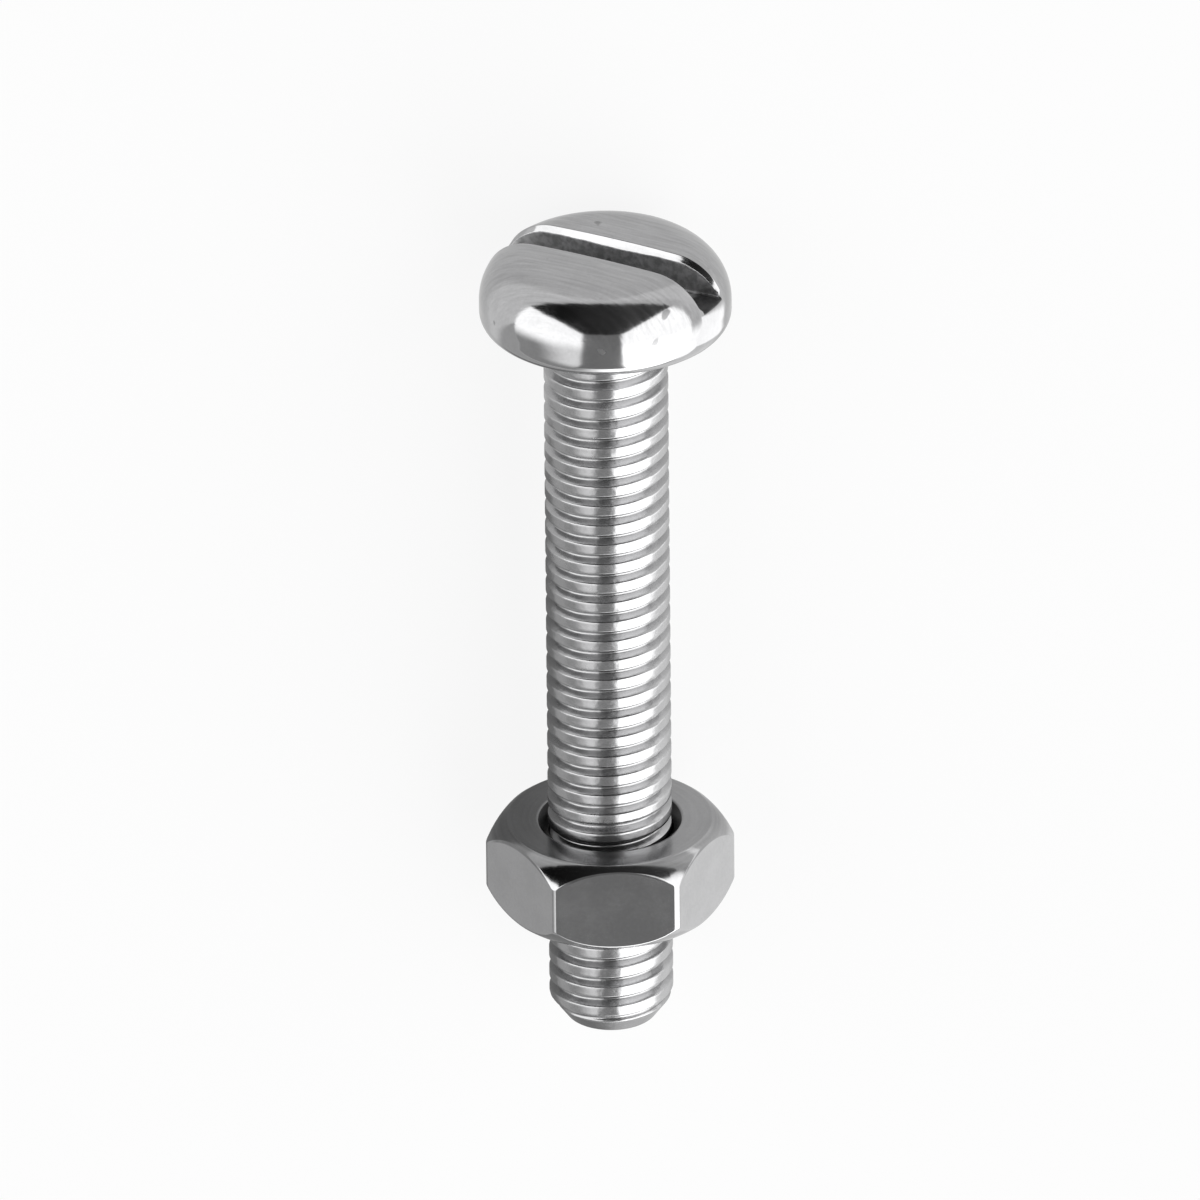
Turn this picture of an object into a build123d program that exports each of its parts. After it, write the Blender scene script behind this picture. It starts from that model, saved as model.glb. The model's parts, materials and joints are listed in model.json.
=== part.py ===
from build123d import *

import os
from math import asin, atan2, cos, degrees, hypot, radians, sin, sqrt, tan

# Slotted pan head machine screw, M4 x 25, with its hexagon nut run on from the tip.
#
# Each piece is drawn about its own axis: the head's bearing face is at z = 0, the head is above it and the
# shank runs down to the tip. The two are then laid down as they rest on a bench, on the rim of the head and
# on one flat of the nut, with the tip towards +X and the screw's axis a little over a degree off level.
# Lengths are in millimetres and angles in degrees.

# Thread
THREAD_D = 4.0  # over the crests, as for M4

# Screw
LENGTH = 25.0  # from the bearing face to the end of the shank
HEAD_D = 8.1
HEAD_H = 2.7
CROWN_R = 60.0  # the slight dome across the top of the head
SHOULDER_R = 1.8  # from the crown down to the side
RIM_R = 0.55  # from the side in to the bearing face
SIDE_MIN = 0.05  # least straight side between those two radii
NECK_R = 0.2  # hollow fillet between the bearing face and the shank
SLOT_W = 1.4
SLOT_FLOOR = 1.5  # height of the slot's floor above the bearing face
SLOT_TURN = 30.5  # slot's angle from level, as the screw lies
TIP_D = 2.8
TIP_TAPER = 1.0  # length of the lead-in chamfer
TIP_EDGE_R = 0.3  # rounds the edge of the end face

# Nut
NUT_FLATS = 7.0  # across flats
NUT_H = 3.1
NUT_HEAD_FACE_D = 6.6  # circle left flat by the chamfer on the end facing the head
NUT_HEAD_CHAMFER = 48.0
NUT_TIP_FACE_D = 6.5  # circle left flat on the end facing the tip
NUT_TIP_CHAMFER = 30.0
MOUTH_D = 4.7  # countersink at each end of the hole
MOUTH_ANGLE = 90.0  # included angle of that countersink
BORE_CLEARANCE = 0.04  # each side, over the crests of the screw's thread
NUT_FROM_HEAD = 17.95  # from the head's bearing face to the nut's


def path(*points):
    """Straight edges from point to point."""
    return [Line(a, b) for a, b in zip(points, points[1:])]


def turned(half_section):
    """A half section drawn in the XY plane, stood up in the XZ plane and turned about Z."""
    return revolve(Plane.XZ * half_section, axis=Axis.Z)


def shoulder_radius():
    """The shoulder's radius, held to the largest that the head's side leaves room for.

    That largest arc touches the crown, and touches the side just above the rim radius.
    """
    rim = HEAD_D / 2
    below_crown = CROWN_R - (HEAD_H - RIM_R - SIDE_MIN)
    largest = (CROWN_R**2 - rim**2 - below_crown**2) / (2 * (CROWN_R - rim))
    return min(SHOULDER_R, largest)


def screw_blank():
    """Head, neck and shank turned in one, before the slot is cut.

    The half section runs from the slightly domed crown over the large shoulder to the small rim radius,
    in along the bearing face, round the neck fillet and down the shank to the tapered, rounded tip.
    """
    rim = HEAD_D / 2
    crest = THREAD_D / 2
    shoulder = (rim, HEAD_H - CROWN_R + sqrt(CROWN_R**2 - rim**2))
    lower_rim = (rim, 0)
    root = (crest, 0)
    tip_edge = (TIP_D / 2, -LENGTH)
    taper_top = (crest, TIP_TAPER - LENGTH)
    crown = RadiusArc(shoulder, (0, HEAD_H), -CROWN_R)
    outline = path(shoulder, lower_rim, root, taper_top, tip_edge, (0, -LENGTH), (0, HEAD_H))
    half_section = make_face([crown, *outline])
    radii = {shoulder: shoulder_radius(), lower_rim: RIM_R, root: NECK_R, tip_edge: TIP_EDGE_R}
    for corner, radius in radii.items():
        half_section = fillet(half_section.vertices().sort_by_distance(corner)[0], radius)
    return turned(half_section)


def slotted_screw():
    """The whole screw in one, with the slot milled right across the head."""
    cutter = Box(2 * HEAD_D, SLOT_W, HEAD_H, align=(Align.CENTER, Align.CENTER, Align.MIN))
    return screw_blank() - Rot(0, 0, -SLOT_TURN) * Pos(0, 0, SLOT_FLOOR) * cutter


def head_chamfer_drop(radius):
    """How far the nut's chamfer falls below its end facing the head, at this distance from the axis."""
    return (radius - NUT_HEAD_FACE_D / 2) * tan(radians(NUT_HEAD_CHAMFER))


def tip_chamfer_drop(radius):
    """The same for the end facing the tip."""
    return (radius - NUT_TIP_FACE_D / 2) * tan(radians(NUT_TIP_CHAMFER))


def turned_disc(upper, lower):
    """A disc as tall as the nut, turned from the points of its upper and its lower end.

    Each point is a radius and a depth from that end, and the points run outwards from the end's middle.
    """
    top = [(radius, -depth) for radius, depth in upper]
    bottom = [(radius, depth - NUT_H) for radius, depth in reversed(lower)]
    return turned(make_face(path((0, 0), *top, *bottom, (0, -NUT_H), (0, 0))))


def hex_nut():
    """Hexagon nut with both ends chamfered and a countersunk hole, one flat facing -Y."""
    hexagon = extrude(RegularPolygon(NUT_FLATS / 2, 6, major_radius=False), -NUT_H)
    beyond = 1.1 * NUT_FLATS / sqrt(3)
    envelope = turned_disc(
        [(NUT_HEAD_FACE_D / 2, 0), (beyond, head_chamfer_drop(beyond))],
        [(NUT_TIP_FACE_D / 2, 0), (beyond, tip_chamfer_drop(beyond))],
    )
    bore = THREAD_D / 2 + BORE_CLEARANCE
    mouth = [(MOUTH_D / 2, 0), (bore, (MOUTH_D / 2 - bore) / tan(radians(MOUTH_ANGLE / 2)))]
    return Pos(0, 0, -NUT_FROM_HEAD) * ((hexagon & envelope) - turned_disc(mouth, mouth))


def resting_place():
    """Where the drawn axes go when the screw lies on the rim of its head and one flat of its nut.

    The bench is the line that touches the lower edge radius of the head and meets the tip end of the flat.
    The origin is in the middle of the length, at the level of the bench.
    """
    flat_end = NUT_FROM_HEAD + NUT_H - tip_chamfer_drop(NUT_FLATS / 2)
    along = flat_end + RIM_R
    across = HEAD_D / 2 - RIM_R - NUT_FLATS / 2
    tilt = atan2(across, along) + asin(RIM_R / hypot(along, across))
    height = (HEAD_D / 2 - RIM_R) * cos(tilt) + RIM_R * (1 - sin(tilt))
    middle = (LENGTH - HEAD_H) / 2 * cos(tilt)
    origin = (-middle, 0, height)
    return tilt, Plane(origin=origin, x_dir=(0, 1, 0), z_dir=(-cos(tilt), 0, sin(tilt)))


os.makedirs("parts", exist_ok=True)
tilt, bench = resting_place()
print(f"axis {degrees(tilt):.3f} degrees off level, bearing face at {tuple(bench.origin)}")
for name, piece in {"slotted_screw": slotted_screw(), "hex_nut": hex_nut()}.items():
    placed = bench.location * piece
    print(f"{name}: {placed.volume:.2f} mm3")
    export_step(placed, f"parts/{name}.step")
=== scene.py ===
import json
import math

import bpy
import numpy as np
from mathutils import Matrix, Vector


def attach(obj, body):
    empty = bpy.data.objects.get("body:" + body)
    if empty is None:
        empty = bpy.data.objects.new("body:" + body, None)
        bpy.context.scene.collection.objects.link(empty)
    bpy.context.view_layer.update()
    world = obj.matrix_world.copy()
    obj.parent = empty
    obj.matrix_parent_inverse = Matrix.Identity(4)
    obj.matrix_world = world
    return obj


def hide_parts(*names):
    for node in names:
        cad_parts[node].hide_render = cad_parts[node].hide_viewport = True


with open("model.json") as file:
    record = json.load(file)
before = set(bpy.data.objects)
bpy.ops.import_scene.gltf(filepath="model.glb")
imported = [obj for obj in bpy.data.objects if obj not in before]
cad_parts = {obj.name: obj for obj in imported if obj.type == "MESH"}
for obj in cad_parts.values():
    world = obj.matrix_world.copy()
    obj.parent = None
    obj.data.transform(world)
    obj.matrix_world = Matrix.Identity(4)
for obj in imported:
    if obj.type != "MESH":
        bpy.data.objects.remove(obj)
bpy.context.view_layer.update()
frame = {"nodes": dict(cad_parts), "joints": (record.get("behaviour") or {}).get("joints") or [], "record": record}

# Slotted pan head machine screw with its hexagon nut, in bright plated steel.
#
# Both pieces share one axis, so they are worked out about a drawn Z axis, in millimetres, with the head's
# bearing face at z = 0, the head above it and the shank below. A last step lays the points down along the
# screw's axis in the frame and turns them into metres. Heights are along the drawn axis, and a station is
# the same measure taken on a piece that lies in the frame.

MM = 0.001
TAU = 2 * np.pi

# ---------------------------------------------------------------- what the frame gives

def numbers(values):
    """A list or vector of numbers as a float array."""
    return np.array(values, float)


record = frame["record"]
mounts = {mount["name"]: mount for mount in record["mounts"]}
TIPWARD = numbers(frame["joints"][0]["axis"])  # along the screw, from the head to the tip
HEADWARD = -TIPWARD
ACROSS = numbers([0, 1, 0])  # level, across the screw
DOWNWARD = np.cross(HEADWARD, ACROSS)  # square to the other two, towards the screw's lower side


def on_axis(point):
    """The foot of a point on the screw's axis, which runs through the thread's own mount."""
    start = numbers(mounts["thread"]["pos_m"])
    return start + np.dot(numbers(point) - start, HEADWARD) * HEADWARD


BEARING = on_axis(mounts["head_bearing_face"]["pos_m"])


def reach(node):
    """Lowest and highest station along the axis and the largest radius of a CAD node, in mm.

    station = (p - bearing) . headward, radius = | (p - bearing) - station headward |
    """
    mesh = frame["nodes"][node].data
    co = np.empty(len(mesh.vertices) * 3)
    mesh.vertices.foreach_get("co", co)
    from_bearing = (co.reshape(-1, 3) - BEARING) / MM
    station = from_bearing @ HEADWARD
    radius = np.linalg.norm(from_bearing - station[:, None] * HEADWARD, axis=1)
    return station.min(), station.max(), radius.max()


TIP_Z, SLOT_TOP, HEAD_R = reach("slotted_screw")
NUT_LOW, NUT_HIGH, NUT_CORNER_R = reach("hex_nut")

# ---------------------------------------------------------------- sizes in mm

# Thread: coarse pitch and 60 degree flanks, with crests and roots softened by rolling and plating
THREAD_R = mounts["thread"]["dims"]["r_mm"]
PITCH = 0.7
THREAD_DEPTH = 0.24
CREST_W = 0.34
ROLLED = 0.02  # crests and roots turn into the flanks over this length to each side of their corners
NECK_END = -0.3  # the plain neck under the head ends here
THREAD_FULL = -0.8  # from here down the grooves have their full depth

# Head
CROWN_R = 60.0
SHOULDER_R = 1.8
RIM_R = 0.55
NECK_R = 0.2
SLOT_W = 1.18  # between the walls, below the bevels
SLOT_FLOOR = 1.5
SLOT_TURN = math.radians(30.5)
SLOT_BEVEL_W, SLOT_BEVEL_H = 0.13, 0.26  # width and depth of the worn bevel along each edge of the slot
SLOT_FLOOR_R = 0.08  # fillet along each side of the floor
SLOT_LEAN = 0.012  # each wall leans out by this much towards the top
SLOT_TOP_AT = 0.7  # the CAD node's slot has its edges, its highest points, this far from the slot's middle
CROWN_Z = SLOT_TOP + CROWN_R - math.sqrt(CROWN_R**2 - SLOT_TOP_AT**2)
CAP_Z = SLOT_FLOOR - 0.12  # the cap, which holds the whole slot, ends at this height

# Tip
TIP_R = 1.42
TIP_TAPER = 0.8  # length of the lead-in taper
TIP_EDGE_R = 0.2
TIP_SLOPE = (THREAD_R - TIP_R) / TIP_TAPER  # radius for each unit of height
THREAD_END = TIP_Z + (THREAD_R - THREAD_DEPTH - TIP_R) / TIP_SLOPE - 0.06  # just below the lowest groove

# Nut
NUT_FLAT = NUT_CORNER_R * math.cos(math.pi / 6)  # from the axis to a flat
HEAD_END = (3.3, 33, 62)  # radius left flat on the end facing the head, and its chamfer's two slopes
TIP_END = (3.2, 30, 62)  # the same for the end facing the tip
NUT_EDGE_R = 0.13  # between a chamfer and a flat
NUT_CORNER_ROUND = 0.25  # between two flats
MOUTH_R = 2.35
MOUTH_FALL = 1 / math.tan(math.radians(45))  # depth of the countersink for each unit of radius
MOUTH_EDGE = 0.02  # the countersink's inner edge is rounded over this width
NUT_CLEARANCE = 0.03  # between the nut's thread and the screw's
NUT_ROOT_R = THREAD_R + NUT_CLEARANCE
NUT_CREST_R = THREAD_R - THREAD_DEPTH + NUT_CLEARANCE

# Mesh
TURNED = 96  # columns round the screw
CLOSE = 0.05  # an extra row this near the end of a straight keeps it flat when it is shaded
WORN_EDGE = 0.03  # where two worked surfaces meet, the edge is rounded over this width

# ---------------------------------------------------------------- mesh building

def laid_down(points):
    """Points about the drawn Z axis, in mm, as points of the frame in metres.

    p = bearing + x across + y downward + z headward
    """
    return BEARING + MM * (points @ np.stack([ACROSS, DOWNWARD, HEADWARD]))


def welded(name, grids):
    """A mesh object of quads from grids of points, with coincident points joined.

    A grid is rows by columns by xyz, and faces the way of columns x rows. Seams, poles and neighbouring
    grids close up as their points are joined. A quad that so loses a corner becomes a triangle, and one
    that loses two is dropped.
    """
    faces = []
    before = 0
    for grid in grids:
        ids = before + np.arange(grid.shape[0] * grid.shape[1]).reshape(grid.shape[:2])
        corners = [ids[:-1, :-1], ids[:-1, 1:], ids[1:, 1:], ids[1:, :-1]]
        faces.append(np.stack([corner.ravel() for corner in corners], axis=1))
        before += ids.size
    points = np.concatenate([grid.reshape(-1, 3) for grid in grids])
    _, first, merged = np.unique(np.round(points, 6), axis=0, return_index=True, return_inverse=True)
    faces = merged.reshape(-1)[np.concatenate(faces)]
    same_as_next = faces == np.roll(faces, -1, axis=1)
    folded = (faces[:, 0] == faces[:, 2]) | (faces[:, 1] == faces[:, 3])
    quads = faces[~same_as_next.any(axis=1) & ~folded]
    three_cornered = (same_as_next.sum(axis=1) == 1) & ~folded
    triangles = faces[three_cornered][~same_as_next[three_cornered]].reshape(-1, 3)
    mesh = bpy.data.meshes.new(name)
    mesh.from_pydata(laid_down(points[first]).tolist(), [], quads.tolist() + triangles.tolist())
    mesh.shade_smooth()
    piece = bpy.data.objects.new(name, mesh)
    bpy.context.scene.collection.objects.link(piece)
    return piece


def cylindrical(radius, angle, height):
    """Points from radius, angle and height, which may be arrays that broadcast together."""
    radius, angle, height = np.broadcast_arrays(radius, angle, height)
    return np.stack([radius * np.cos(angle), radius * np.sin(angle), height], axis=-1)


def turned(section, angles):
    """The surface of a section of (r, z) points turned through the angles.

    point(i, j) = (r_i cos a_j, r_i sin a_j, z_i)
    """
    return cylindrical(section[:, :1], angles[None, :], section[:, 1:])


def arc(centre, radius, start, end, count):
    """Points (r, z) of an arc: centre + radius (cos a, sin a), a from start to end in radians."""
    a = np.linspace(start, end, count)
    return numbers(centre) + radius * np.stack([np.cos(a), np.sin(a)], axis=-1)


def straight(start, end, count=2):
    """Points (r, z) of a line: p(t) = (1 - t) start + t end, with one extra point close to each end."""
    share = min(CLOSE / math.dist(start, end), 0.3)
    t = np.unique(np.concatenate([np.linspace(0, 1, count), [share, 1 - share]]))[:, None]
    return (1 - t) * numbers(start) + t * numbers(end)


def closed(angles):
    """Angles with the first one repeated a full turn on."""
    return np.append(angles, angles[0] + TAU)

# ---------------------------------------------------------------- thread

def soft_min(a, b, width):
    """The smaller of a and b, with the corner between them rounded over about that width."""
    share = np.clip(0.5 + 0.5 * (b - a) / width, 0, 1)
    return b + (a - b) * share - width * share * (1 - share)


def soft_max(a, b, width):
    """The larger of a and b, with the corner between them rounded over about that width."""
    return -soft_min(-a, -b, width)


def thread_depth(angle, height):
    """Depth below the crest of a right hand thread, at an angle and height about its axis.

    The distance from the helical crest line gives it: the flanks fall by sqrt(3) for each unit along the
    axis, from the edge of the crest's flat down to the root, and both corners are rounded.
    """
    turn = height / PITCH - angle / TAU
    from_crest = np.abs((turn + 0.5) % 1 - 0.5) * PITCH
    flank = math.sqrt(3) * (from_crest - CREST_W / 2)
    return soft_max(soft_min(flank, THREAD_DEPTH, 1.5 * ROLLED), 0, 1.5 * ROLLED)


def helical_rows(angles, low, high):
    """Heights of a grid that follows the thread's helix between two levels and is cut off at both.

    Its rows keep set distances from the crest line, close together where crest and root meet the flanks:
    height(i, j) = pitch (i-th share of a turn + a_j / turn), held between low and high
    """
    crest = CREST_W / 2
    root = crest + THREAD_DEPTH / math.sqrt(3)
    half = [0, crest / 2, crest - ROLLED, crest, crest + ROLLED, (crest + root) / 2, root - ROLLED, root]
    shares = numbers(half + [PITCH / 2]) / PITCH
    shares = np.concatenate([shares, 1 - shares[-2:0:-1]])
    turns = np.arange(math.floor(low / PITCH) - 2, math.ceil(high / PITCH) + 2)[:, None] + shares
    heights = PITCH * (turns.reshape(-1, 1) + angles / TAU)
    return np.clip(heights, low, high)

# ---------------------------------------------------------------- screw

def shoulder_centre():
    """Centre (r, z) of the shoulder's arc, which touches the crown's arc and the head's side."""
    r = HEAD_R - SHOULDER_R
    z = CROWN_Z - CROWN_R + math.sqrt((CROWN_R - SHOULDER_R) ** 2 - r**2)
    return r, z


def dome_height(radius):
    """Height of the head's top at this radius: the crown's arc, then the shoulder's."""
    r, z = shoulder_centre()
    touch = r * CROWN_R / (CROWN_R - SHOULDER_R)
    crown = CROWN_Z - CROWN_R + np.sqrt(CROWN_R**2 - radius**2)
    shoulder = z + np.sqrt(np.maximum(SHOULDER_R**2 - (radius - r) ** 2, 0))
    return np.where(radius < touch, crown, shoulder)


def dome_radius(height):
    """Radius of the head's shoulder at this height."""
    r, z = shoulder_centre()
    return r + math.sqrt(SHOULDER_R**2 - (height - z) ** 2)


CAP_R = dome_radius(CAP_Z)
SLOT_EXIT_R = dome_radius(SLOT_FLOOR)


def slot_lines():
    """The grid lines that run along one side of the slot: distance from its middle, and three shares.

    The shares are how much of the floor's fillet, of the wall and of the bevel lies below the line. The
    last line runs on the crown, just outside the bevel.
    """
    half = SLOT_W / 2
    quarter = np.linspace(0, math.pi / 2, 4)
    fillet = [(half - SLOT_FLOOR_R * (1 - math.sin(a)), 1 - math.cos(a), 0, 0) for a in quarter]
    wall = [(half + SLOT_LEAN * share, 1, share, 0) for share in (0.05, 0.5, 0.95)]
    top = half + SLOT_LEAN
    bevel = [(top + SLOT_BEVEL_W * share, 1, 1, share) for share in (0, 0.1, 0.5, 0.9, 1)]
    outside = [(top + SLOT_BEVEL_W + 0.03, 1, 1, 1)]
    return numbers(fillet + wall + bevel + outside)


def head_columns():
    """Angles round the head, from the slot's direction, and the even column that each one belongs to.

    They are even, except where the lines along the slot meet the cap's rim.
    """
    side = slot_lines()[:, 0]
    even = np.arange(TURNED) / TURNED * TAU
    from_slot = np.abs(CAP_R * np.sin(even))
    room = 0.02
    clear = (from_slot < side.min() - room) | (from_slot > side.max() + room)
    near = np.arcsin(side / CAP_R)
    angles = np.sort(np.concatenate([even[clear], near, math.pi - near, math.pi + near, TAU - near]))
    return angles, np.round(angles / TAU * TURNED) / TURNED * TAU


def slot_exit(offset):
    """Where the slot's floor meets the shoulder, as a share of the way to the cap's rim at this offset.

    share = sqrt(exit radius^2 - o^2) / sqrt(cap radius^2 - o^2), and o is held to 1 mm, outside the slot
    """
    near = np.minimum(np.abs(offset), 1)
    return np.sqrt(SLOT_EXIT_R**2 - near**2) / np.sqrt(CAP_R**2 - near**2)


def bevel_height(along):
    """Height of the slot's bevel, which is worn most in the middle of the head and a little unevenly.

    height = bevel (0.76 + 0.34 exp(-(a / 1.6)^2) + 0.06 sin(5 a) sin(2.3 a + 1))
    """
    middle = 0.34 * np.exp(-((along / 1.6) ** 2))
    return SLOT_BEVEL_H * (0.76 + middle + 0.06 * np.sin(5 * along) * np.sin(2.3 * along + 1))


def head_cap(angles):
    """The head's top with the slot milled across it, as lines along the slot.

    Each line runs at its own offset o from the slot's middle, from rim to rim, and its points crowd towards
    the place where the slot's floor meets the shoulder. The height at a point a along it is the dome's, at
    radius sqrt(a^2 + o^2), and in the slot it is the floor's and as much of the fillet, the wall and the
    bevel as lies below that offset.
    """
    quarter = angles[angles < math.pi / 2 + 1e-9]
    offset = CAP_R * np.sin(np.concatenate([-quarter[:0:-1], quarter]))
    exit_share = slot_exit(offset)[:, None]
    inside = np.sin(np.linspace(0, math.pi / 2, 30))
    beyond = np.linspace(0, 1, 5)[1:]
    half = np.hstack([inside * exit_share, exit_share + beyond * (1 - exit_share)])
    share = np.hstack([-half[:, :0:-1], half])
    along = share * np.sqrt(np.maximum(CAP_R**2 - offset**2, 0))[:, None]
    offset = offset[:, None]
    dome = dome_height(np.hypot(along, offset))
    floor = soft_min(dome, SLOT_FLOOR, WORN_EDGE)
    depth = dome - floor
    side = slot_lines()
    fillet, wall, bevel = (np.interp(np.abs(offset), side[:, 0], side[:, k]) for k in (1, 2, 3))
    fillet_h = np.minimum(SLOT_FLOOR_R, depth / 2)
    bevel_h = np.minimum(bevel_height(along), depth / 2)
    height = floor + fillet_h * fillet + (depth - fillet_h - bevel_h) * wall + bevel_h * bevel
    x = along * math.cos(SLOT_TURN) + offset * math.sin(SLOT_TURN)
    y = offset * math.cos(SLOT_TURN) - along * math.sin(SLOT_TURN)
    return np.stack([x, y, height], axis=-1)


def head_section():
    """Section of the head below the cap: the rim's arc, the straight side and the shoulder's arc."""
    shoulder_r, shoulder_z = shoulder_centre()
    cap_angle = math.asin((CAP_Z - shoulder_z) / SHOULDER_R)
    return np.concatenate([
        arc((HEAD_R - RIM_R, RIM_R), RIM_R, -math.pi / 2, 0, 10),
        straight((HEAD_R, RIM_R), (HEAD_R, shoulder_z)),
        arc((shoulder_r, shoulder_z), SHOULDER_R, 0, cap_angle, 14),
    ])


def neck_section():
    """Section of the plain neck and of the hollow fillet that joins it to the bearing face."""
    return np.concatenate([
        straight((THREAD_R, NECK_END), (THREAD_R, -NECK_R)),
        arc((THREAD_R + NECK_R, -NECK_R), NECK_R, math.pi, math.pi / 2, 6),
    ])


def shank(angles):
    """The threaded shank. Its grooves deepen from the neck down, and the tip's taper cuts its crests off.

    radius = the smaller of THREAD_R - depth and the taper's, TIP_R + slope (z - tip)
    """
    heights = helical_rows(angles, THREAD_END, NECK_END)
    grown = np.clip((NECK_END - heights) / (NECK_END - THREAD_FULL), 0, 1)
    threaded = THREAD_R - grown * thread_depth(angles, heights)
    radius = soft_min(threaded, TIP_R + (heights - TIP_Z) * TIP_SLOPE, WORN_EDGE)
    return cylindrical(radius, angles, heights)


def tip_section():
    """Section of the tip: its end face, the rounded edge and the plain stretch of the taper."""
    slope = math.atan(TIP_SLOPE)
    corner = TIP_EDGE_R * math.tan((math.pi / 2 - slope) / 2)
    edge = arc((TIP_R - corner, TIP_Z + TIP_EDGE_R), TIP_EDGE_R, -math.pi / 2, -slope, 8)
    return np.concatenate([
        straight((0, TIP_Z), edge[0], 4),
        edge,
        straight(edge[-1], (TIP_R + (THREAD_END - TIP_Z) * TIP_SLOPE, THREAD_END)),
    ])


def threaded_screw():
    """The whole screw: slotted cap, head, bearing face, neck, threaded shank and tip.

    The bearing face has even columns inside and the head's own at its rim, which joins the two.
    """
    angles, even = head_columns()
    head_angles = closed(angles) - SLOT_TURN
    shank_angles = closed(np.arange(TURNED) / TURNED * TAU) - SLOT_TURN
    face = straight((THREAD_R + NECK_R, 0), (HEAD_R - RIM_R, 0), 3)
    bearing = turned(face, closed(even) - SLOT_TURN)
    bearing[-1] = turned(face[-1:], head_angles)[0]
    return welded("threaded_screw", [
        head_cap(angles),
        turned(head_section(), head_angles),
        bearing,
        turned(neck_section(), shank_angles),
        shank(shank_angles),
        turned(tip_section(), shank_angles),
    ])

# ---------------------------------------------------------------- nut

def nut_plan():
    """Angles round the nut and its outer radius at each, for a hexagon with rounded corners.

    Half a side runs along the flat at x = NUT_FLAT and then round the corner's arc, and the rest is
    mirrored and turned. The first flat faces the drawn -Y.
    """
    centre = NUT_FLAT - NUT_CORNER_ROUND
    flat_end = centre * math.tan(math.pi / 6)
    y = np.concatenate([np.linspace(0, flat_end - CLOSE, 8), [flat_end]])
    flat = np.stack([NUT_FLAT + 0 * y, y], axis=1)
    corner = arc((centre, flat_end), NUT_CORNER_ROUND, 0, math.pi / 6, 4)[1:]
    half = np.concatenate([flat, corner])
    angle = np.arctan2(half[:, 1], half[:, 0])
    radius = np.hypot(half[:, 0], half[:, 1])
    side_angle = np.concatenate([-angle[:0:-1], angle[:-1]])
    side_radius = np.concatenate([radius[:0:-1], radius[:-1]])
    turns = np.arange(6)[:, None] * math.pi / 3 - math.pi / 2
    return (turns + side_angle).ravel(), np.tile(side_radius, 6)


def nut_end(radius, face_r, first_slope, last_slope):
    """Radii and heights, at each angle, from the mouth over the end face and the chamfer to the flat.

    The end face is at height 0. The chamfer is an arc whose slope grows from the face's edge to the nut's
    corner, so sin(slope) is linear in r and the fall to r is (r - face_r) tan of the mean slope. A small
    arc then touches both the chamfer and the flat: its centre is one edge radius in from the flat and from
    the chamfer.
    """
    first, last = math.sin(math.radians(first_slope)), math.sin(math.radians(last_slope))
    growth = (last - first) / (NUT_CORNER_R - face_r)

    def chamfer(r):
        slope = np.arcsin(first + growth * (r - face_r))
        return slope, -(r - face_r) * np.tan((math.asin(first) + slope) / 2)

    rows = [(r + 0 * radius, 0 * radius) for r, _ in straight((MOUTH_R, 0), (face_r, 0), 3)]
    centre_r = radius - NUT_EDGE_R
    touch_r = (centre_r + NUT_EDGE_R * (first - growth * face_r)) / (1 - NUT_EDGE_R * growth)
    slope, touch_z = chamfer(touch_r)
    centre_z = touch_z - NUT_EDGE_R * np.cos(slope)
    for share in (0.12, 0.25, 0.4, 0.55, 0.7, 0.85):
        r = face_r + share * (touch_r - face_r)
        rows.append((r, chamfer(r)[1]))
    for share in np.linspace(1, 0, 7):
        bend = share * (math.pi / 2 - slope)
        rows.append((centre_r + NUT_EDGE_R * np.cos(bend), centre_z + NUT_EDGE_R * np.sin(bend)))
    rows.append((radius, centre_z - 0.06))  # keeps the flat flat when it is shaded
    return rows


def nut_outside(angles, radius):
    """The nut's outside, as rows from the lower mouth to the upper one."""
    lower = [(r, NUT_LOW - z) for r, z in nut_end(radius, *TIP_END)]
    upper = [(r, NUT_HIGH + z) for r, z in nut_end(radius, *HEAD_END)]
    return np.stack([cylindrical(r, angles, z) for r, z in lower + upper[::-1]])


def threaded_nut():
    """The nut: chamfered hexagon, a countersink at each end and the thread between them."""
    angles, radius = nut_plan()
    angles = closed(angles)
    radius = np.append(radius, radius[0])
    entry_r = NUT_ROOT_R + MOUTH_EDGE
    entry = (MOUTH_R - entry_r) * MOUTH_FALL
    heights = helical_rows(angles, NUT_LOW + entry, NUT_HIGH - entry)
    cut = soft_max(NUT_ROOT_R - thread_depth(angles, heights), NUT_CREST_R, WORN_EDGE)
    from_end = np.minimum(heights - NUT_LOW, NUT_HIGH - heights)
    bore = cylindrical(soft_max(cut, MOUTH_R - from_end / MOUTH_FALL, MOUTH_EDGE), angles, heights)
    lower = straight((entry_r, NUT_LOW + entry), (MOUTH_R, NUT_LOW))
    upper = straight((MOUTH_R, NUT_HIGH), (entry_r, NUT_HIGH - entry))
    return welded("threaded_nut", [
        bore[::-1],
        turned(lower, angles),
        nut_outside(angles, radius),
        turned(upper, angles),
    ])


screw = threaded_screw()
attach(screw, "screw")
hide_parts("slotted_screw")

nut = threaded_nut()
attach(nut, "nut")
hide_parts("hex_nut")

# ---------------------------------------------------------------- shader expressions

BLACK = (0, 0, 0)


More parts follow.
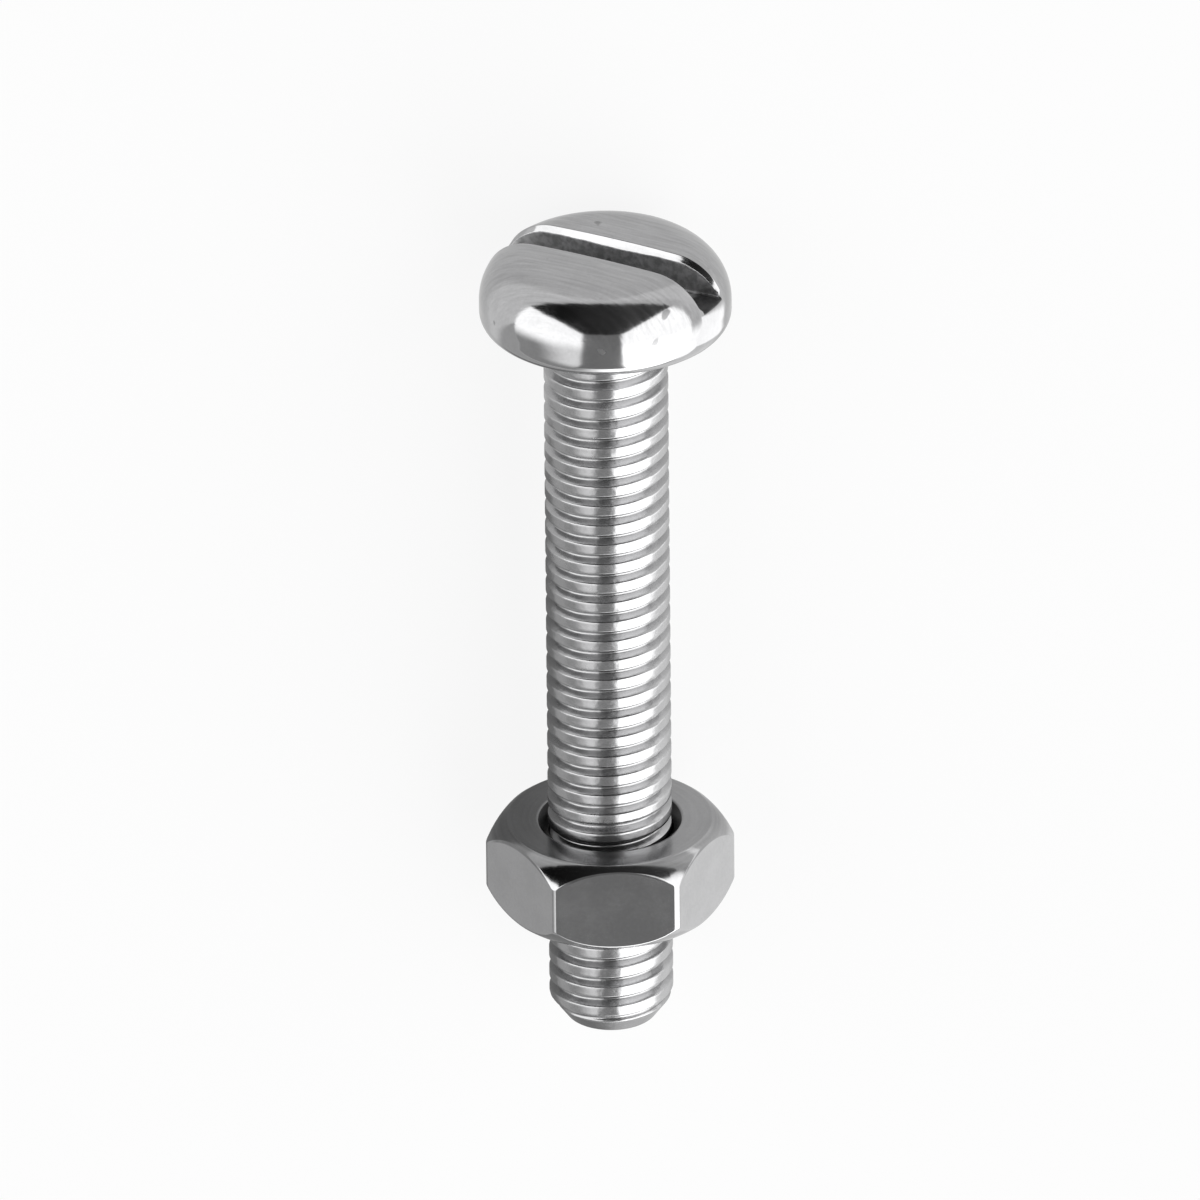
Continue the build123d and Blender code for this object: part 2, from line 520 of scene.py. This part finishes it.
class Socket:
    """A shader socket that reads like a number: an expression on sockets adds its Math nodes."""

    def __init__(self, tree, output=None):
        self.tree = tree
        self.output = output

    def node(self, kind, inputs=None, output=0, **settings):
        """A node of this kind, its settings first and then its inputs, as the socket of one output."""
        made = self.tree.nodes.new("ShaderNode" + kind)
        for key, value in settings.items():
            setattr(made, key, value)
        for key, value in (inputs or {}).items():
            if isinstance(value, Socket):
                self.tree.links.new(value.output, made.inputs[key])
            else:
                made.inputs[key].default_value = value
        return Socket(self.tree, made.outputs[output])

    def math(self, operation, *values):
        """A Math node of this operation on sockets or numbers."""
        return self.node("Math", dict(enumerate(values)), operation=operation)

    def __add__(self, other):
        return self.math("ADD", self, other)

    def __sub__(self, other):
        return self.math("SUBTRACT", self, other)

    def __rsub__(self, other):
        return self.math("SUBTRACT", other, self)

    def __mul__(self, other):
        return self.math("MULTIPLY", self, other)

    def __abs__(self):
        return self.math("ABSOLUTE", self)

    __radd__ = __add__
    __rmul__ = __mul__

    def root(self):
        """The square root."""
        return self.math("SQRT", self)

    def rise(self, low, high):
        """0 below low and 1 above high, with a smooth step between them."""
        inputs = {"Value": self, "From Min": low, "From Max": high}
        return self.node("MapRange", inputs, interpolation_type="SMOOTHSTEP")

    def along(self, direction):
        """This vector's length along a direction."""
        inputs = {0: self, 1: tuple(direction)}
        return self.node("VectorMath", inputs, "Value", operation="DOT_PRODUCT")

    def noise(self, scale, detail):
        """Soft noise from 0 to 1 on this vector, with so many features for each unit of its length."""
        return self.node("TexNoise", {"Vector": self, "Scale": scale, "Detail": detail})

    def blend(self, first, second):
        """A colour from first to second as this value goes from 0 to 1."""
        inputs = {"Factor": self, 6: (*first, 1), 7: (*second, 1)}
        return self.node("Mix", inputs, 2, data_type="RGBA")


def new_material(name):
    """An empty node material and its Principled shader."""
    material = bpy.data.materials.new(name)
    material.use_nodes = True
    shader = material.node_tree.nodes["Principled BSDF"]
    return material, shader


def feed(shader, **sockets):
    """Links sockets into the shader's inputs, named with underscores for spaces."""
    for name, socket in sockets.items():
        socket.tree.links.new(socket.output, shader.inputs[name.replace("_", " ")])

# ---------------------------------------------------------------- finishes

PLATING = 0.43  # how much of the light the plating sends back
PLATING_TINT = (1, 1, 1.01)


def about_axis(place):
    """Where a point lies about the screw's axis, in mm: station, radius, and along and off the slot."""
    def measured(direction):
        return (place.along(direction) - float(np.dot(BEARING, direction))) * (1 / MM)

    x, y, station = measured(ACROSS), measured(DOWNWARD), measured(HEADWARD)
    radius = (x * x + y * y).root()
    along = x * math.cos(SLOT_TURN) - y * math.sin(SLOT_TURN)
    offset = x * math.sin(SLOT_TURN) + y * math.cos(SLOT_TURN)
    return station, radius, along, offset


def bright_plating(name, least_rough):
    """A bright plated material and its shader, with the point in space, the plating's level and roughness.

    The level and the roughness vary a little with soft clouds about 1 mm wide and fine ones of 0.1 mm.
    """
    material, shader = new_material(name)
    place = Socket(material.node_tree).node("TexCoord", output="Object")
    shader.inputs["Metallic"].default_value = 1
    cloudy = place.noise(900, 3)
    fine = place.noise(9000, 4)
    level = PLATING + 0.04 * (cloudy * 0.6 + fine * 0.4).rise(0.35, 0.65)
    roughness = least_rough + 0.05 * cloudy.rise(0.4, 0.7) + 0.03 * fine
    return material, shader, place, level, roughness


def screw_plating():
    """Bright plating, with polishing lines along the slot, a dark milled slot and a duller rolled thread.

    A few darker specks lie on the head. Painted shade darkens the slot's floor towards both ends and lies in the
    thread's roots.
    """
    material, shader, place, level, roughness = bright_plating("bright_plated_screw", 0.06)
    station, radius, along, offset = about_axis(place)
    lines = place.node("CombineXYZ", {0: 0.3 * along, 1: 4 * offset, 2: station}).noise(2.2, 5)
    crown = station.rise(0.9, 1.9)
    side = SLOT_W / 2 + SLOT_LEAN
    slot = (1 - abs(offset).rise(side, side + 0.015)) * station.rise(SLOT_FLOOR - 0.06, SLOT_FLOOR - 0.02)
    floor = slot * (1 - station.rise(SLOT_FLOOR + 0.02, SLOT_FLOOR + 0.06))
    # painted shade on the slot's floor towards its ends
    painted_end_shade = floor * abs(along).rise(2.9, 3.2)
    milled = place.noise(4500, 3).rise(0.35, 0.65)
    thread = 1 - station.rise(NECK_END - 0.1, NECK_END)
    # painted shade in the roots of the thread
    painted_root_shade = thread * (1 - radius.rise(1.8, 1.96))
    speck = (1 - thread) * place.noise(1500, 1).rise(0.7, 0.74)
    level += 0.24 * crown * (lines - 0.5)
    level *= 1 - 0.12 * painted_root_shade
    level *= 1 - 0.8 * painted_end_shade
    level *= 1 + slot * (0.45 * milled - 0.2)
    level *= 1 - 0.35 * speck
    uneven = 0.2 * crown * lines + 1.3 * thread * place.noise(2000, 2)
    feed(
        shader,
        Base_Color=level.blend(BLACK, PLATING_TINT),
        Roughness=roughness + 0.15 * thread + 0.35 * slot + 0.12 * crown * (lines - 0.3) + 0.2 * speck,
        Normal=place.node("Bump", {"Strength": 0.35, "Distance": 0.00004, "Height": uneven}),
    )
    return material


def nut_plating():
    """Bright plating, with turned rings on the duller end faces, painted shade broken by turned rings on the
    chamfer facing the head, and painted shade in the bore and its countersinks.

    The chamfer's mask follows its surface, which falls by about out (0.66 + 0.6 out) at a distance out
    beyond the end face, and it ends short of the nut's corners.
    """
    material, shader, place, level, roughness = bright_plating("bright_plated_nut", 0.08)
    station, radius, along, offset = about_axis(place)
    # painted shade in the bore and countersinks, which are also rougher
    hole_painted_dark = 1 - radius.rise(MOUTH_R - 0.06, MOUTH_R - 0.01)
    rings = place.node("CombineXYZ", {0: 9 * radius, 1: 0.3 * along, 2: 0.3 * offset}).noise(1, 3)
    middle = (NUT_LOW + NUT_HIGH) / 2
    end = abs(station - middle).rise(NUT_HIGH - middle - 0.03, NUT_HIGH - middle - 0.01)
    out = radius - HEAD_END[0]
    below = NUT_HIGH - station - out * (0.66 + 0.6 * out)
    # partly turned rings, partly painted shade on the chamfer facing the head
    chamfer = out.rise(0, 0.05) * (1 - below.rise(0.03, 0.08)) * (1 - out.rise(0.42, 0.6))
    level *= 1 - 0.85 * hole_painted_dark
    level *= 1 - end * (0.1 + 0.2 * rings)
    level *= 1 - chamfer * (0.1 + 0.5 * rings)
    feed(
        shader,
        Base_Color=level.blend(BLACK, PLATING_TINT),
        Roughness=roughness + 0.2 * hole_painted_dark + 0.08 * end,
    )
    return material


def dressed(piece, material):
    """Gives the piece this material alone."""
    piece.data.materials.clear()
    piece.data.materials.append(material)


dressed(screw, screw_plating())
dressed(nut, nut_plating())

# ---------------------------------------------------------------- floor, light and camera

CAMERA_FAR = 1.5  # metres to the screw, which keeps its sides all but parallel in the picture
VIEW_WIDTH = 38.55  # mm across the picture
AIM_Z = -10.04  # station of the middle of the picture, in mm
AIM_ASIDE = 0.255  # mm from the axis to the middle of the picture
CAMERA_RISE = math.radians(27.8)  # above the plane square to the axis, on the head's side of it
CAMERA_TURN = math.radians(2.8)  # round the axis, from straight above
CAMERA_ROLL = math.radians(0.52)  # about the line of sight


def painted_floor_light(x, y):
    """Painted light and shade that the floor glows with in the metal at this place, in mm from the frame's origin.

    Round the head, where x < -5, it is even and a little brighter far to both sides. From there to the tip
    it brightens across the screw as y grows, with a painted shadow just left of the shank, and a bright wedge
    of painted light lies beside the head where y > 10.
    """
    tipward = x.rise(-7, -3)
    by_head = 0.77 + 0.25 * abs(y).rise(8, 11)
    by_shank = 0.2 + 0.35 * (1 - y.rise(-10, -8)) + 0.55 * y.rise(-3, 3) + 0.43 * y.rise(4, 8)
    wedge = y.rise(9, 11) * x.rise(-11, -9) * (1 - (x - 0.55 * y).rise(-12.5, -11))
    return tipward * by_shank + (1 - tipward) * by_head + 1.2 * wedge


def studio_floor():
    """A pale floor under the screw, plain and nearly white to the camera; in the metal it glows with the painted
    light and shade of painted_floor_light().
    """
    half = 1.0  # metres
    corners = [(-half, -half, 0), (half, -half, 0), (half, half, 0), (-half, half, 0)]
    mesh = bpy.data.meshes.new("floor")
    mesh.from_pydata(corners, [], [(0, 1, 2, 3)])
    floor = bpy.data.objects.new("floor", mesh)
    bpy.context.scene.collection.objects.link(floor)
    material, shader = new_material("pale_floor")
    shader.inputs["Base Color"].default_value = (0.62, 0.62, 0.62, 1)
    shader.inputs["Roughness"].default_value = 0.9
    shader.inputs["Specular IOR Level"].default_value = 0
    tree = material.node_tree
    start = Socket(tree)
    camera, glossy, through = (
        start.node("LightPath", output=f"Is {kind} Ray") for kind in ("Camera", "Glossy", "Transmission")
    )
    place = start.node("TexCoord", output="Object")
    x, y = (start.node("SeparateXYZ", {0: place}, k) * (1 / MM) for k in range(2))
    # the floor's glow: painted light and shade for glossy and transmission rays, white for camera rays
    level = painted_floor_light(x, y) * (1 - camera) + camera
    brightest = 2.5
    white = (level * (1 / brightest)).blend(BLACK, (brightest,) * 3)
    glow = start.node("Emission", {"Color": white})
    share = 0.87 * camera + 0.85 * (glossy + through)
    mixed = start.node("MixShader", {0: share, 1: Socket(tree, shader.outputs[0]), 2: glow})
    tree.links.new(mixed.output, tree.nodes["Material Output"].inputs["Surface"])
    dressed(floor, material)


def studio_world():
    """A white tent round the screw, with a grey gap overhead and a black card in front of the head.

    Beyond the tip its right side is brighter and its left side darker, most of all low down. The tent is
    turned a little about the screw, so its own sideways direction is across = y + 0.05 z + 0.05 and its own
    upward one is above = z - 0.1 y. Where above < 0.1 it is a plain skirt, brighter low on the right.
    """
    world = bpy.data.worlds.new("tent")
    bpy.context.scene.world = world
    world.use_nodes = True
    tree = world.node_tree
    start = Socket(tree)
    direction = start.node("TexCoord", output="Generated")
    x, y, z = (start.node("SeparateXYZ", {0: direction}, k) for k in range(3))
    across = y + 0.05 * z + 0.05
    above = z - 0.1 * y
    aside = abs(across)
    low = 1 - z
    beyond = x.rise(0, 0.35)
    right = across.rise(-0.3, 0.3)
    right_level = 2.2 + 1.5 * beyond
    left_level = 2.2 - beyond * (0.8 + 0.95 * (1 - z.rise(0.3, 0.75)))
    level = right * right_level + (1 - right) * left_level
    gap = (1 - aside.rise(0.26, 0.33)) * (1 - x.rise(0.8, 0.88))
    card = (0.2 * low * low - 0.97 * x - aside).rise(-0.03, 0.03) * (1 - x.rise(-0.34, -0.29))
    skirt = 1 - above.rise(0.08, 0.11)
    level = level * (1 - gap) + gap * 0.285
    level = level * (1 - card) + card * 0.09 * across.rise(-1, 1)
    level = level * (1 - skirt) + skirt * (0.85 + 1.4 * beyond * across.rise(0.6, 0.8))
    background = tree.nodes["Background"]
    background.inputs["Color"].default_value = (1, 1, 1, 1)
    tree.links.new(level.output, background.inputs["Strength"])


def studio_camera():
    """The camera looks down on the screw from the head's side, close to the middle of its length."""
    level = -math.cos(CAMERA_TURN) * DOWNWARD - math.sin(CAMERA_TURN) * ACROSS
    back = math.cos(CAMERA_RISE) * level + math.sin(CAMERA_RISE) * HEADWARD
    upright = math.cos(CAMERA_RISE) * HEADWARD - math.sin(CAMERA_RISE) * level
    up = math.cos(CAMERA_ROLL) * upright + math.sin(CAMERA_ROLL) * np.cross(upright, back)
    right = np.cross(up, back)
    aim = BEARING + MM * (AIM_Z * HEADWARD - AIM_ASIDE * right)
    data = bpy.data.cameras.new("camera")
    data.sensor_width = 36
    data.lens = data.sensor_width * CAMERA_FAR / (VIEW_WIDTH * MM)
    data.clip_start = 0.1
    data.clip_end = 10
    camera = bpy.data.objects.new("camera", data)
    bpy.context.scene.collection.objects.link(camera)
    turned_to = Matrix(np.stack([right, up, back], axis=1).tolist()).to_4x4()
    camera.matrix_world = Matrix.Translation(Vector(aim + CAMERA_FAR * back)) @ turned_to
    bpy.context.scene.camera = camera


studio_floor()
studio_world()
studio_camera()
bpy.context.scene.view_settings.view_transform = "Standard"
